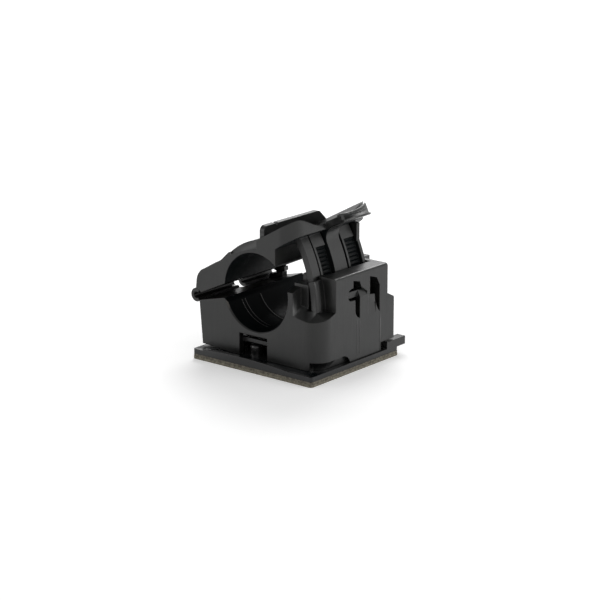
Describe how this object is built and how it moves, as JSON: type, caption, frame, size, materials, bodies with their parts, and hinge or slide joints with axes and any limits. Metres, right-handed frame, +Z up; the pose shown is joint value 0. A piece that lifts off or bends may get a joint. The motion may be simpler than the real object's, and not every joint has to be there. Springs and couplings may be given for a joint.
{
  "type": "adhesive cable clip",
  "caption": "Self-adhesive cable clip with a box body, a foam-backed plate and a hinged lid whose ratchet straps lock in a latch tower.",
  "frame": {"origin": "middle of the foam pad's adhesive underside", "axes": "+Z up away from the mounting surface, Y along the cable, X from the hinge to the latch tower"},
  "size_m": [0.0439, 0.0397, 0.042],
  "materials": {
    "foam": "fine closed-cell foam, matte",
    "plate_plastic": "smooth black, slightly glossy top",
    "body_plastic": "satin black moulding"
  },
  "bodies": {
    "body": {"foam_layer_lower": "foam", "foam_layer_upper": "foam", "base_plate": "plate_plastic", "clip_body": "body_plastic", "hinge_loop_front": "body_plastic", "hinge_loop_rear": "body_plastic"},
    "lid": {"lid": "body_plastic"}
  },
  "joints": [
    {"name": "lid_hinge", "type": "hinge", "parent": "body", "child": "lid", "pos_m": [-0.0219, 0.0014, 0.0162], "axis": [0, -1, 0], "range_deg": [-13, 95], "deforming": ["hinge_loop_front", "hinge_loop_rear"]}
  ]
}
